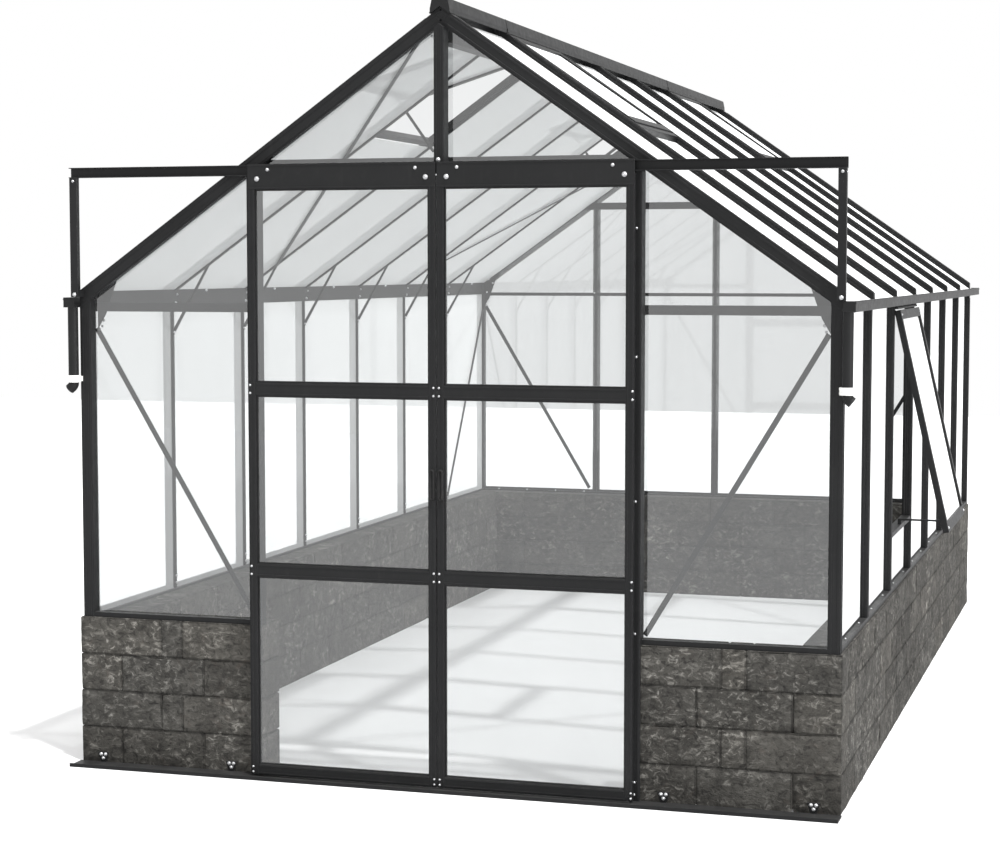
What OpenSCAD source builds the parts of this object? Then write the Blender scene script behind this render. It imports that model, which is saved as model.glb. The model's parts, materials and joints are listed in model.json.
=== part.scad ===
// Gable greenhouse on a block dwarf wall, with a pair of top-hung sliding doors.
// Origin: middle of the front, on the ground, under the threshold rail.
// X runs along the front, Y into the house, Z up. Millimetres.

/* [House] */
// Spacing of the glazing bars
bay = 730; // [600:2:880]
// Number of bays along each side
side_bays = 7; // [6:1:9]
// Height of the roof's outer surface at the side walls
eave_h = 1850; // [1780:5:2240]
// Roof slope from level, in degrees
roof_angle = 35.1; // [33:0.1:43]
// Distance from the outermost bar's centre to the frame's outer face
frame_edge = 20; // [19:1:26]

/* [Dwarf wall] */
// Height of one course of blocks
course_h = 144; // [110:1:180]
// Number of courses
courses = 4; // [3:1:4]
// Thickness of the wall
wall_t = 180; // [140:5:220]
// How far the wall stands proud of the frame
wall_proud = 15; // [15:1:30]

/* [Bars and glass] */
// Width of a glazing bar
bar_w = 38; // [30:1:46]
// How far a bar stands out from the glass
bar_h = 28; // [24:1:40]
// How far a roof bar stands above the glass
roof_bar_h = 26; // [22:1:34]
// Width of the web between two panes
web_w = 14; // [8:1:20]
// Depth of the web, glass included
web_d = 12; // [9:1:16]
// Thickness of the glass
glass_t = 4; // [3:1:6]
// Width of the corner posts
post_w = 45; // [40:1:54]
// Thickness of the gable rafters, square to the slope
rafter_h = 52; // [48:1:64]

/* [Roof vents] */
// Length of a vent down the slope
vent_len = 617; // [500:1:740]
// Opening of the left roof vents, in degrees
left_vent_angle = 18; // [1:1:30]
// Opening of the right roof vents, in degrees
right_vent_angle = 0.5; // [0:0.1:30]

/* [Side window] */
// Bay of the right wall that holds the window, counted from the front
window_bay = 3; // [2:1:5]
// Height of the opened sash
window_len = 943; // [760:1:1000]
// Opening of the window, in degrees
window_angle = 13; // [2:1:25]

/* [Sliding doors] */
// Width of one door leaf
leaf_w = 740; // [600:1:900]
// Top of the door track
track_top = 2322; // [2200:2:2340]
// Height of the door track
track_h = 39; // [36:1:46]
// Gap between the two closed leaves
leaf_gap = 6; // [6:1:12]
// Depth of a leaf's frame
leaf_d = 27; // [22:1:32]
// Width of a leaf's stiles
stile_w = 27; // [22:1:34]
// Height of a leaf's rails
rail_h = 50; // [40:1:60]

/* [Hidden] */

// Overall layout
gable_bays = 4;
frame_hw = gable_bays / 2 * bay + frame_edge;
frame_len = side_bays * bay + 2 * frame_edge;
wall_hw = frame_hw + wall_proud;
wall_len = frame_len + 2 * wall_proud;
wall_h = courses * course_h;
ridge_h = eave_h + frame_hw * tan(roof_angle);
first_bar_y = wall_proud + frame_edge;

// Depths of the layers, from the frame's outer face inwards
frame_y = wall_proud;
glass_y = frame_y + bar_h;
glass_in = glass_y + glass_t;
web_in = glass_y + web_d;
post = max(post_w, bar_h + glass_t + 4);
post_in = frame_y + post;
rafter_lap = 11;
rafter_in = web_in + rafter_lap;
// Clearance where a piece is seated against a sloping or turned face
seat = 0.1;
glass_x = frame_hw - bar_h;
web_x = glass_x - web_d;
skin = roof_bar_h + glass_t;

// Sills on the wall
sill_h = 19;
sill_ledge = 8;
sill_shelf = 18;
sill_top = wall_h + sill_h;
pane_z = wall_h + sill_ledge;

// Eaves
beam_w = 50;
beam_x = frame_hw - beam_w;
beam_z = eave_h - skin / cos(roof_angle) - 35.3;
bar_overhang = 10;
bar_end_x = frame_hw + bar_overhang;

// Gutters and downpipes
gutter_w = 47;
gutter_h = 35;
gutter_t = 3;
gutter_back_h = 11;
gutter_drop = skin / cos(roof_angle) + 27.3;
gutter_z = eave_h - gutter_drop;
gutter_y = frame_y - 45;
gutter_len = wall_len - 2 * gutter_y;
pipe_r = 20;
pipe_bore_r = 17;
pipe_len = 324;
pipe_x = frame_hw + 18;
pipe_y = frame_y - 23;
clip_r = 28;
clip_h = 27;
clip_drop = 290;
round_gap = 0.3;

// Ridge
ridge_gap = 1;
ridge_beam_hw = 30;
ridge_beam_h = 70;
ridge_beam_z = under(ridge_beam_hw, skin) - ridge_beam_h;
cap_hw = 38;
cap_side = 18;
cap_flat = 31;
cap_rise = 25;

// Vents
hinge_x = cap_hw + 0.3;
hinge_s = hinge_x / cos(roof_angle);
sash_t = 20;
sash_side = 5;
sash_w = bay - 2 * sash_side;
vent_side = bar_w / 2 + 4;
vent_w = bay - 2 * vent_side;
stile_sash_w = 30;
sash_foot = 45;
sash_pane_z = 8;
vent_bays = [1, side_bays - 2];
transom_w = 28;
transom_s = hinge_s + vent_len + 2;
stay_len = 311;
stay_lean = 98;
stay_w = 12;
stay_t = 5;

// Side window
win = window_bay - 1;
win_sash_t = 25;
win_rail_h = 40;
win_pane_x = 10;
win_top = beam_z - 18;
win_transom_top = win_top - window_len * cos(window_angle) - 9;
win_transom_h = 20;
win_stay_z = win_transom_top + 16;
win_stay_h = 8;
win_stay_in = 12;
win_stay_foot_w = 16;
hood_r = 16;
hood_z = win_top + 8;

// Doors: a leaf slides in front of the gable, its hanger plate in front of the track
doorway_hw = leaf_w - 18;
jamb_x = doorway_hw + 3;
jamb_y = -12;
rail_base_t = 6;
rail_front_y = -95;
rail_inner_y = 45;
lip_t = 4;
lip_h = 14;
track_t = 3;
track_d = 22;
track_z = track_top - track_h;
track_front_y = jamb_y - track_d;
track_hw = frame_hw + 14;
end_post_in = 18;
end_post_w = 30;
end_post_foot_h = 24;
leaf_in_y = jamb_y - 8;
leaf_y = leaf_in_y - leaf_d;
leaf_x = leaf_gap / 2;
leaf_z = 12;
bottom_rail_h = 40;
plate_t = 7;
plate_top = track_top + 3;
plate_z = track_top - 91;
top_rail_z = track_z - 8;
mid_rail_1 = 1459;
mid_rail_2 = 772;
leaf_glass_in = 11;
roller_r = 13.5;
roller_w = 8;
roller_inset = 77;
roller_z = track_z + track_t + round_gap + roller_r;
roller_y = track_front_y + 5;
axle_r = 4;
handle_w = 22;
handle_d = 12;
handle_h = 118;
handle_z = 1082;

// Ties, gussets, braces and struts
header_z = track_top - 22;
header_h = 45;
header_lap = 5;
rear_header_z = track_z + 4;
rear_header_h = header_h - 4;
bar_in_d = 20;
tie_z = eave_h - 80;
tie_h = 35;
rear_tie_h = 19;
gusset_t = 3;
gusset_w = 90;
gusset_drop = 150;
gusset_foot_w = 35;
gusset_foot_drop = 90;
brace_w = 20;
brace_t = 4;
brace_top_z = eave_h - 145;
brace_foot_z = wall_h + 30;
roof_brace_head = 99;
roof_brace_foot = 183;
side_brace_t = 5;
strut_t = 6;
strut_foot = 195;
strut_reach = 150;
strut_w = 26;
strut_head_w = 18;
bracket_w = 46;
bracket_h = 44;
bracket_t = 4;
bracket_x = [jamb_x + 125, wall_hw - 100];

frame_colour = [0.16, 0.16, 0.17];
glass_colour = [0.85, 0.92, 0.92, 0.3];
block_colour = [0.28, 0.27, 0.25];
clip_colour = [0.92, 0.92, 0.90];

// Height of the roof's outer surface, and of a layer at a depth square to the slope
function roof_z(x) = ridge_h - x * tan(roof_angle);
function under(x, depth) = roof_z(x) - depth / cos(roof_angle);
// Centre of a side bar, and the edges of the pane in a bay
function bar_y(i) = first_bar_y + i * bay;
function pane_from(i, corner) = i == 0 ? corner : bar_y(i) + web_w / 2;
function pane_to(i, corner) = i == side_bays - 1 ? wall_len - corner : bar_y(i + 1) - web_w / 2;

// Corners of a straight bar of width w from p to q
function bar_corners(p, q, w) =
    let (d = (q - p) / norm(q - p), n = [-d[1], d[0]] * w / 2)
    [p + n, q + n, q - n, p - n];

// An outline in the XZ plane, given a length along Y
module along_y(y, length) {
    translate([0, y + length, 0])
        rotate([90, 0, 0])
            linear_extrude(length)
                children();
}

// An outline in the YZ plane, given a length along X
module along_x(x, length) {
    translate([x, 0, 0])
        rotate([90, 0, 90])
            linear_extrude(length)
                children();
}

module both_sides() {
    children();
    mirror([1, 0, 0]) children();
}

module both_ends() {
    children();
    translate([0, wall_len, 0]) mirror([0, 1, 0]) children();
}

// The frame of one slope: X down the slope from the ridge, Z out of the roof
module on_slope() {
    translate([0, 0, ridge_h])
        rotate([0, roof_angle, 0])
            children();
}

// The space under the roof down to a depth, in the XZ plane
module below_roof(depth) {
    polygon([[-frame_hw, 0], [frame_hw, 0], [frame_hw, under(frame_hw, depth)],
             [0, under(0, depth)], [-frame_hw, under(frame_hw, depth)]]);
}

// A strip of one slope between two distances from the ridge and two depths, in the XZ plane
module slope_strip(x1, x2, depth1, depth2) {
    polygon([[x1, under(x1, depth1)], [x2, under(x2, depth1)],
             [x2, under(x2, depth2)], [x1, under(x1, depth2)]]);
}

// An upright of the gable, from z up to the roof layer at a depth, in the XZ plane
module upright(x1, x2, z, depth) {
    intersection() {
        translate([x1, z]) square([x2 - x1, ridge_h - z]);
        below_roof(depth);
    }
}

// Dwarf wall
module dwarf_wall_right() {
    color(block_colour) translate([wall_hw - wall_t, 0, 0]) cube([wall_t, wall_len, wall_h]);
}

module dwarf_wall_left() {
    mirror([1, 0, 0]) dwarf_wall_right();
}

module dwarf_wall_rear() {
    color(block_colour)
        translate([-(wall_hw - wall_t), wall_len - wall_t, 0])
            cube([2 * (wall_hw - wall_t), wall_t, wall_h]);
}

module dwarf_walls_front() {
    color(block_colour)
        both_sides()
            translate([doorway_hw, 0, 0])
                cube([wall_hw - wall_t - doorway_hw, wall_t, wall_h]);
}

// Threshold rail along the front, with a lip, and a bracket plate at each anchor
module anchor_bracket(x) {
    along_y(-bracket_t, bracket_t)
        polygon([[x - bracket_w / 4, rail_base_t], [x + bracket_w / 4, rail_base_t],
                 [x + bracket_w / 2, bracket_h], [x - bracket_w / 2, bracket_h]]);
}

module threshold_rail() {
    color(frame_colour) {
        translate([-wall_hw, rail_front_y, 0]) cube([2 * wall_hw, -rail_front_y, rail_base_t]);
        translate([-doorway_hw, 0, 0]) cube([2 * doorway_hw, rail_inner_y, rail_base_t]);
        translate([-wall_hw, rail_front_y, 0]) cube([2 * wall_hw, lip_t, lip_h]);
        both_sides()
            for (x = bracket_x) anchor_bracket(x);
    }
}

// Sills on the wall: a face in line with the bars and a ledge that carries the glass
module side_sills() {
    color(frame_colour)
        both_sides() {
            translate([glass_x, post_in, wall_h])
                cube([bar_h, wall_len - 2 * post_in, sill_h]);
            translate([glass_x - sill_shelf, post_in, wall_h])
                cube([sill_shelf, wall_len - 2 * post_in, sill_ledge]);
        }
}

module front_sill() {
    ledge_from = jamb_x + bar_w - web_d;
    face_from = jamb_x + bar_w;
    face_to = frame_hw - post;
    ledge_to = glass_x - sill_shelf;
    translate([face_from, frame_y, wall_h]) cube([face_to - face_from, bar_h, sill_h]);
    translate([ledge_from, glass_y, wall_h]) cube([ledge_to - ledge_from, sill_shelf, sill_ledge]);
}

module rear_sill() {
    post_x = frame_hw - post;
    ledge_x = glass_x - sill_shelf;
    translate([-post_x, frame_y, wall_h]) cube([2 * post_x, bar_h, sill_h]);
    translate([-ledge_x, glass_y, wall_h]) cube([2 * ledge_x, sill_shelf, sill_ledge]);
}

module gable_sills() {
    color(frame_colour) {
        both_sides() front_sill();
        translate([0, wall_len, 0]) mirror([0, 1, 0]) rear_sill();
    }
}

module corner_posts() {
    color(frame_colour)
        both_ends()
            both_sides()
                along_y(frame_y, post)
                    upright_post();
}

module upright_post() {
    upright(frame_hw - post, frame_hw, wall_h, rafter_h + seat);
}

// Glazing bars of the side walls
module side_mullion(y) {
    translate([glass_x, y - bar_w / 2, sill_top]) cube([bar_h, bar_w, beam_z - sill_top]);
    translate([web_x, y - web_w / 2, pane_z]) cube([web_d, web_w, beam_z - pane_z]);
}

module side_mullions() {
    color(frame_colour)
        both_sides()
            for (i = [1:side_bays - 1]) side_mullion(bar_y(i));
}

// Glazing bars of the gables: the king post over the doors and three at the rear
module king_post() {
    along_y(jamb_y, glass_y - jamb_y)
        upright(-bar_w / 2, bar_w / 2, track_z, rafter_h + seat);
    translate([-web_w / 2, glass_y, header_z + header_h])
        cube([web_w, web_d, ridge_beam_z - seat - header_z - header_h]);
}

module rear_mullion(x) {
    web_top = x == 0 ? ridge_beam_z - seat : ridge_h;
    along_y(frame_y, bar_h)
        upright(x - bar_w / 2, x + bar_w / 2, sill_top, rafter_h + seat);
    along_y(glass_y, web_d)
        intersection() {
            translate([x - web_w / 2, pane_z]) square([web_w, web_top - pane_z]);
            below_roof(skin + seat);
        }
}

module gable_mullions() {
    color(frame_colour) {
        king_post();
        translate([0, wall_len, 0])
            mirror([0, 1, 0])
                for (x = [-bay, 0, bay]) rear_mullion(x);
    }
}

// Door jambs: notched over the dwarf wall, with a strip down its face to the threshold
module door_jamb() {
    translate([jamb_x, jamb_y, rail_base_t])
        cube([bar_w, -jamb_y, wall_h - rail_base_t]);
    along_y(jamb_y, glass_y - jamb_y)
        upright(jamb_x, jamb_x + bar_w, wall_h, rafter_h + seat);
    along_y(glass_y, web_d)
        upright(jamb_x, jamb_x + bar_w - web_d, wall_h, skin + seat);
}

module door_jambs() {
    color(frame_colour) both_sides() door_jamb();
}

// Eave beams, with a top that carries the roof glass
module eave_beams() {
    depth = skin + seat;
    color(frame_colour)
        both_sides()
            along_y(post_in, wall_len - 2 * post_in)
                polygon([[beam_x, beam_z], [frame_hw, beam_z],
                         [frame_hw, under(frame_hw, depth)], [beam_x, under(beam_x, depth)]]);
}

// Gutters, open at the top, with an outlet over each front downpipe
module gutters() {
    color(frame_colour)
        both_sides()
            difference() {
                translate([frame_hw, gutter_y, gutter_z]) cube([gutter_w, gutter_len, gutter_t]);
                translate([pipe_x, pipe_y, gutter_z - 1])
                    cylinder(h = gutter_t + 2, r = pipe_bore_r, $fn = 64);
            }
}

module gutter_walls() {
    z = gutter_z + gutter_t;
    inner_w = gutter_w - 2 * gutter_t;
    wall = gutter_h - gutter_t;
    color(frame_colour)
        both_sides() {
            translate([frame_hw, gutter_y, z])
                cube([gutter_t, gutter_len, gutter_back_h - gutter_t]);
            translate([frame_hw + gutter_w - gutter_t, gutter_y, z])
                cube([gutter_t, gutter_len, wall]);
            for (end_y = [gutter_y, gutter_y + gutter_len - gutter_t])
                translate([frame_hw + gutter_t, end_y, z]) cube([inner_w, gutter_t, wall]);
        }
}

module downpipes() {
    color(frame_colour)
        both_sides()
            translate([pipe_x, pipe_y, gutter_z - pipe_len])
                difference() {
                    cylinder(h = pipe_len, r = pipe_r, $fn = 64);
                    translate([0, 0, -1]) cylinder(h = pipe_len + 2, r = pipe_bore_r, $fn = 64);
                }
}

module pipe_clips() {
    color(clip_colour)
        both_sides()
            translate([pipe_x, pipe_y, gutter_z - clip_drop])
                difference() {
                    cylinder(h = clip_h, r = clip_r, $fn = 64);
                    translate([0, 0, -1])
                        cylinder(h = clip_h + 2, r = pipe_r + round_gap, $fn = 64);
                }
}

// Gable rafters: a deep face outside, a shallower part inside that the glass butts under
module rafters_right() {
    color(frame_colour)
        both_ends() {
            along_y(frame_y, bar_h) slope_strip(0, frame_hw, 0, rafter_h);
            along_y(glass_y, rafter_in - glass_y) slope_strip(0, frame_hw, 0, skin);
        }
}

module rafters_left() {
    mirror([1, 0, 0]) rafters_right();
}

// Roof bars, from the ridge to the gutter
module roof_bar(y) {
    along_y(y - bar_w / 2, bar_w)
        slope_strip(ridge_gap, bar_end_x, 0, roof_bar_h);
    along_y(y - web_w / 2, web_w)
        slope_strip(ridge_beam_hw, beam_x, roof_bar_h, roof_bar_h + web_d);
}

module roof_bars() {
    color(frame_colour)
        both_sides()
            for (i = [1:side_bays - 1]) roof_bar(bar_y(i));
}

module ridge_beam() {
    shoulder = under(ridge_beam_hw, skin + seat);
    color(frame_colour)
        along_y(post_in, wall_len - 2 * post_in)
            polygon([[-ridge_beam_hw, ridge_beam_z], [ridge_beam_hw, ridge_beam_z],
                     [ridge_beam_hw, shoulder], [0, under(0, skin + seat)],
                     [-ridge_beam_hw, shoulder]]);
}

module ridge_cap() {
    edge = roof_z(cap_hw) + seat;
    color(frame_colour)
        along_y(0, wall_len)
            polygon([[-cap_hw, edge], [0, ridge_h + seat], [cap_hw, edge], [cap_hw, edge + cap_side],
                     [cap_flat, ridge_h + cap_rise], [-cap_flat, ridge_h + cap_rise],
                     [-cap_hw, edge + cap_side]]);
}

// Bars inside the gables: the header over the doors and the ties at eave height
module level_bar(x1, x2, z, height) {
    intersection() {
        translate([x1, z]) square([x2 - x1, height]);
        below_roof(skin + seat);
    }
}

module gable_tie_bars() {
    tie_end = min(beam_x, frame_hw - post);
    color(frame_colour) {
        along_y(glass_in, bar_in_d) level_bar(-jamb_x, jamb_x, header_z, header_h);
        both_sides()
            along_y(glass_in, bar_in_d)
                level_bar(jamb_x + bar_w - web_d, tie_end, tie_z, tie_h);
        translate([0, wall_len, 0])
            mirror([0, 1, 0]) {
                along_y(web_in, bar_in_d)
                    level_bar(-frame_hw, frame_hw, rear_header_z, rear_header_h);
                along_y(web_in, bar_in_d - web_d + glass_t)
                    level_bar(-beam_x, beam_x, tie_z, rear_tie_h);
            }
    }
}

// Gusset plates between the rafters, the ties and the eave beams
module gusset_plates() {
    top_x = beam_x - gusset_w;
    depth = skin + seat;
    color(frame_colour)
        both_ends()
            both_sides()
                along_y(glass_in + bar_in_d, gusset_t)
                    polygon([[top_x, under(top_x, depth)], [beam_x, under(beam_x, depth)],
                             [beam_x, eave_h - gusset_drop],
                             [beam_x - gusset_foot_w, eave_h - gusset_foot_drop]]);
}

// Struts from each side bar up to its roof bar
module knee_strut(y) {
    foot_z = eave_h - strut_foot;
    head_x = web_x - strut_reach;
    head_in_x = head_x - strut_head_w;
    depth = roof_bar_h + web_d + seat;
    along_y(y - strut_t / 2, strut_t)
        polygon([[web_x, foot_z], [web_x, foot_z + strut_w],
                 [head_x, under(head_x, depth)], [head_in_x, under(head_in_x, depth)]]);
}

module knee_struts() {
    color(frame_colour)
        both_sides()
            for (i = [1:side_bays - 1]) knee_strut(bar_y(i));
}

// Diagonals inside the gables and in the last bay of each side wall
module wall_braces() {
    foot_x = max(jamb_x + bar_w + brace_t, bay + web_w / 2 + brace_w * 1.5);
    foot = [foot_x, brace_foot_z];
    head = [frame_hw - post - brace_w / 2, brace_top_z];
    rear_y = wall_len - rafter_in - strut_t;
    color(frame_colour) {
        both_ends()
            both_sides()
                along_y(glass_in, brace_t)
                    polygon(bar_corners(foot, head, brace_w));
        both_sides()
            along_x(web_x - side_brace_t, side_brace_t)
                polygon(bar_corners([bar_y(side_bays - 1), brace_foot_z],
                                    [rear_y, brace_top_z - brace_w], brace_w));
    }
}

// Diagonals under the roof bars, from the gable's ridge end to the second bar's foot
module roof_braces() {
    foot_s = (frame_hw - roof_brace_foot) / cos(roof_angle);
    head_s = (ridge_beam_hw + roof_brace_head) / cos(roof_angle);
    foot_y = bar_y(2) - strut_t / 2 - brace_w * 0.4;
    depth = roof_bar_h + web_d + brace_t + seat;
    color(frame_colour)
        both_ends()
            both_sides()
                on_slope()
                    translate([0, 0, -depth])
                        linear_extrude(brace_t)
                            polygon(bar_corners([head_s, rafter_in], [foot_s, foot_y], brace_w));
}

// Transoms that close the roof vents' and the window's openings below
module opening_transoms() {
    clear = bay - bar_w;
    color(frame_colour) {
        both_sides()
            for (i = vent_bays)
                on_slope()
                    translate([transom_s, bar_y(i) + bar_w / 2 + seat, seat - roof_bar_h])
                        cube([transom_w, clear - 2 * seat, roof_bar_h - 2 * seat]);
        translate([web_x, bar_y(win) + bar_w / 2, win_transom_top - win_transom_h])
            cube([frame_hw - web_x, clear, win_transom_h]);
    }
}

// Glass of the side walls
module side_pane(i, top) {
    from = pane_from(i, post_in);
    to = pane_to(i, post_in);
    translate([glass_x - glass_t, from, pane_z]) cube([glass_t, to - from, top - pane_z]);
}

module side_glass() {
    color(glass_colour) {
        for (i = [0:side_bays - 1])
            side_pane(i, i == win ? win_transom_top - win_transom_h : beam_z);
        mirror([1, 0, 0])
            for (i = [0:side_bays - 1]) side_pane(i, beam_z);
    }
}

// Glass of the gables
module gable_pane(x1, x2, z) {
    along_y(glass_y, glass_t)
        intersection() {
            translate([x1, z]) square([x2 - x1, ridge_h - z]);
            below_roof(skin + seat);
        }
}

module gable_glass() {
    post_x = frame_hw - post;
    color(glass_colour) {
        both_sides() {
            gable_pane(jamb_x + bar_w - web_d, post_x, pane_z);
            gable_pane(web_w / 2, jamb_x, header_z + header_lap);
        }
        translate([0, wall_len, 0])
            mirror([0, 1, 0])
                both_sides() {
                    gable_pane(web_w / 2, bay - web_w / 2, pane_z);
                    gable_pane(bay + web_w / 2, post_x, pane_z);
                }
    }
}

// Glass of the roof, shorter below the vents
module roof_pane(i) {
    from = pane_from(i, rafter_in);
    to = pane_to(i, rafter_in);
    is_vent = i == vent_bays[0] || i == vent_bays[1];
    top_x = is_vent ? (transom_s + transom_w / 2) * cos(roof_angle) : ridge_gap + 7;
    along_y(from, to - from)
        slope_strip(top_x, bar_end_x, roof_bar_h + seat, skin);
}

module roof_glass() {
    color(glass_colour)
        both_sides()
            for (i = [0:side_bays - 1]) roof_pane(i);
}

// Roof vents, hinged at the ridge cap's edge and lying between the bars when shut
module in_vents() {
    for (i = vent_bays) {
        on_slope()
            translate([hinge_s, bar_y(i) + vent_side, 0])
                rotate([0, -right_vent_angle, 0])
                    translate([0, 0, -sash_t])
                        children();
        mirror([1, 0, 0])
            on_slope()
                translate([hinge_s, bar_y(i) + vent_side, 0])
                    rotate([0, -left_vent_angle, 0])
                        translate([0, 0, -sash_t])
                            children();
    }
}

module vent_stiles() {
    color(frame_colour)
        in_vents()
            for (y = [0, vent_w - stile_sash_w])
                translate([0, y, 0]) cube([vent_len, stile_sash_w, sash_t]);
}

module vent_rails() {
    color(frame_colour)
        in_vents() {
            translate([0, stile_sash_w, 0])
                cube([stile_sash_w, vent_w - 2 * stile_sash_w, sash_t]);
            translate([vent_len - sash_foot, stile_sash_w, 0])
                cube([sash_foot, vent_w - 2 * stile_sash_w, sash_t]);
        }
}

module vent_glass() {
    color(glass_colour)
        in_vents()
            translate([stile_sash_w + seat, stile_sash_w + seat, sash_pane_z])
                cube([vent_len - stile_sash_w - sash_foot - 2 * seat,
                      vent_w - 2 * (stile_sash_w + seat), glass_t]);
}

// Side window, hung from its top edge on the faces of two bars
module in_window() {
    translate([frame_hw, bar_y(win) + sash_side, win_top])
        rotate([0, -window_angle, 0])
            translate([0, 0, -window_len])
                children();
}

module window_stiles() {
    color(frame_colour)
        in_window()
            for (y = [0, sash_w - stile_sash_w])
                translate([0, y, 0]) cube([win_sash_t, stile_sash_w, window_len]);
}

module window_rails() {
    color(frame_colour)
        in_window()
            for (z = [0, window_len - win_rail_h])
                translate([0, stile_sash_w, z])
                    cube([win_sash_t, sash_w - 2 * stile_sash_w, win_rail_h]);
}

module window_glass() {
    color(glass_colour)
        in_window()
            translate([win_pane_x, stile_sash_w + seat, win_rail_h + seat])
                cube([glass_t, sash_w - 2 * (stile_sash_w + seat),
                      window_len - 2 * (win_rail_h + seat)]);
}

module window_hood() {
    color(frame_colour)
        along_y(bar_y(win) + sash_side, sash_w)
            intersection() {
                translate([frame_hw, hood_z]) circle(r = hood_r, $fn = 64);
                translate([frame_hw, hood_z]) square(hood_r);
            }
}

// Stays that hold the vents and the window open
module vent_stay() {
    foot = vent_len - sash_foot;
    hang = stay_len - sash_t;
    translate([0, (vent_w + stay_t) / 2, 0])
        rotate([90, 0, 0])
            linear_extrude(stay_t)
                polygon([[foot, -seat], [foot + stay_w, -seat],
                         [foot + stay_w - stay_lean, -hang], [foot - stay_lean, -hang]]);
}

module window_stay() {
    y = bar_y(win) + bay / 2;
    foot_x = glass_x + win_stay_in;
    foot_end = foot_x + win_stay_foot_w;
    reach = frame_hw - seat + (win_top - win_stay_z) * tan(window_angle);
    reach_top = reach - win_stay_h * tan(window_angle);
    along_y(y - stay_t / 2, stay_t)
        polygon([[foot_x, win_transom_top], [foot_end, win_transom_top],
                 [foot_end, win_stay_z], [reach, win_stay_z],
                 [reach_top, win_stay_z + win_stay_h], [foot_x, win_stay_z + win_stay_h]]);
}

module stay_bars() {
    color(frame_colour) {
        in_vents() vent_stay();
        window_stay();
    }
}

// Door track: a channel open to the front, in which the rollers run
module door_track() {
    color(frame_colour)
        along_x(-track_hw, 2 * track_hw)
            difference() {
                translate([track_front_y, track_z]) square([track_d, track_h]);
                translate([track_front_y - 1, track_z + track_t])
                    square([track_d - track_t + 1, track_h - 2 * track_t]);
            }
}

// Posts that carry the track's ends from the feet of the rafters
module track_end_post() {
    end_x = frame_hw - end_post_in;
    foot_z = eave_h - end_post_foot_h;
    translate([end_x, track_front_y, foot_z])
        cube([end_post_w, track_d, track_z - foot_z]);
    translate([end_x, jamb_y, foot_z])
        cube([end_post_in, frame_y - jamb_y, end_post_foot_h]);
}

module track_end_posts() {
    color(frame_colour) both_sides() track_end_post();
}

// Right door leaf; the left one is its mirror image
module right_door_stiles() {
    color(frame_colour)
        for (x = [leaf_x, leaf_x + leaf_w - stile_w])
            translate([x, leaf_y, leaf_z]) cube([stile_w, leaf_d, plate_z - leaf_z]);
}

module right_door_rails() {
    inner_x = leaf_x + stile_w;
    inner_w = leaf_w - 2 * stile_w;
    color(frame_colour) {
        translate([inner_x, leaf_y, leaf_z]) cube([inner_w, leaf_d, bottom_rail_h]);
        for (z = [mid_rail_1, mid_rail_2])
            translate([inner_x, leaf_y, z]) cube([inner_w, leaf_d, rail_h]);
        translate([leaf_x, leaf_y, plate_z]) cube([leaf_w, plate_t, plate_top - plate_z]);
        translate([leaf_x, leaf_y, plate_z]) cube([leaf_w, leaf_d, top_rail_z - plate_z]);
    }
}

module right_door_glass() {
    inner_x = leaf_x + stile_w;
    inner_w = leaf_w - 2 * stile_w;
    rails = [leaf_z + bottom_rail_h, mid_rail_2, mid_rail_2 + rail_h, mid_rail_1,
             mid_rail_1 + rail_h, plate_z];
    color(glass_colour)
        for (i = [0, 2, 4])
            translate([inner_x, leaf_y + leaf_glass_in, rails[i]])
                cube([inner_w, glass_t, rails[i + 1] - rails[i]]);
}

module right_door_rollers() {
    plate_back = leaf_y + plate_t;
    color("silver")
        for (x = [leaf_x + roller_inset, leaf_x + leaf_w - roller_inset])
            translate([x, 0, roller_z])
                rotate([-90, 0, 0]) {
                    translate([0, 0, roller_y]) cylinder(h = roller_w, r = roller_r, $fn = 48);
                    translate([0, 0, plate_back])
                        cylinder(h = roller_y - plate_back, r = axle_r, $fn = 32);
                }
}

module right_door_handle() {
    color(frame_colour)
        translate([leaf_x + (stile_w - handle_w) / 2, leaf_y - handle_d, handle_z])
            cube([handle_w, handle_d, handle_h]);
}

module left_door_stiles() {
    mirror([1, 0, 0]) right_door_stiles();
}

module left_door_rails() {
    mirror([1, 0, 0]) right_door_rails();
}

module left_door_glass() {
    mirror([1, 0, 0]) right_door_glass();
}

module left_door_rollers() {
    mirror([1, 0, 0]) right_door_rollers();
}

module left_door_handle() {
    mirror([1, 0, 0]) right_door_handle();
}

dwarf_wall_left();
dwarf_wall_right();
dwarf_wall_rear();
dwarf_walls_front();
threshold_rail();
side_sills();
gable_sills();
corner_posts();
side_mullions();
gable_mullions();
door_jambs();
eave_beams();
gutters();
gutter_walls();
downpipes();
pipe_clips();
rafters_left();
rafters_right();
roof_bars();
ridge_beam();
ridge_cap();
gable_tie_bars();
gusset_plates();
knee_struts();
wall_braces();
roof_braces();
opening_transoms();
side_glass();
gable_glass();
roof_glass();
vent_stiles();
vent_rails();
vent_glass();
window_stiles();
window_rails();
window_glass();
window_hood();
stay_bars();
door_track();
track_end_posts();
left_door_stiles();
left_door_rails();
left_door_glass();
left_door_rollers();
left_door_handle();
right_door_stiles();
right_door_rails();
right_door_glass();
right_door_rollers();
right_door_handle();
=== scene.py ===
import json
import math

import bmesh
import bpy
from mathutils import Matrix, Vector, noise


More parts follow.
